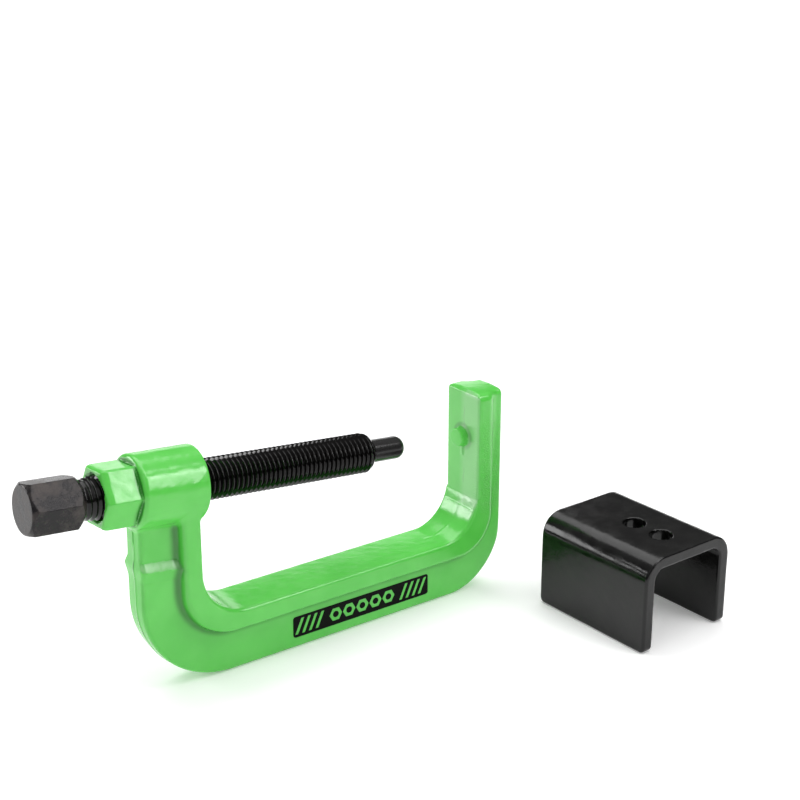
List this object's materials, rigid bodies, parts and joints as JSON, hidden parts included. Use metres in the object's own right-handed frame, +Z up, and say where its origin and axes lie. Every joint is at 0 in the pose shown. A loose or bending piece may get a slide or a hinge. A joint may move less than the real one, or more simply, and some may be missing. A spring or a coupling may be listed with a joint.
{
  "type": "ball joint separator",
  "caption": "Forged C-frame press with a hex-headed forcing screw, a located anvil pad and a loose U-shaped spacer adapter, for pressing ball joints and studs apart.",
  "frame": {"origin": "centre of the flat foot under the spine, in the forging's middle plane", "axes": "+X along the throat from the screw's boss to the anvil arm, +Z up from the foot to the screw, Y across the forging"},
  "size_m": [0.3606, 0.1456, 0.1322],
  "materials": {
    "green_enamel": "glossy green enamel over forged steel",
    "black_oxide": "oiled black oxide, glossy on the thread and satin on the head",
    "satin_black": "satin black oxide",
    "bright_steel": "polished bearing steel",
    "black_coat": "glossy black electro-coat",
    "label_print": "black printed film, plain pattern with no lettering"
  },
  "bodies": {
    "frame": {"c_frame": "green_enamel", "locating_pin": "green_enamel", "frame_label": "label_print"},
    "nose": {"thrust_ball": "bright_steel"},
    "screw": {"forcing_screw": "black_oxide", "retaining_ring": "bright_steel"},
    "tip": {"thrust_pin": "satin_black"},
    "adapter": {"spacer_adapter": "black_coat"}
  },
  "joints": [
    {"name": "screw_travel", "type": "slide", "parent": "frame", "child": "nose", "axis": [0.9962, 0, -0.0872], "range_m": [-0.1, 0.0085]},
    {"name": "screw_turn", "type": "hinge", "parent": "nose", "child": "screw", "pos_m": [-0.088, 0, 0.1098], "axis": [0.9962, 0, -0.0872], "range_deg": [-12750, 1084]},
    {"name": "tip_swivel", "type": "hinge", "parent": "nose", "child": "tip", "pos_m": [0.03154, 0, 0.09934], "axis": [0.9962, 0, -0.0872], "continuous": true},
    {"name": "adapter_lift", "type": "slide", "parent": "frame", "child": "adapter", "axis": [0, 0, 1], "range_m": [0, 0.12]}
  ],
  "couplings": [
    {"joint": "screw_travel", "follows": "screw_turn", "m_per_rad": 0.00044917}
  ]
}
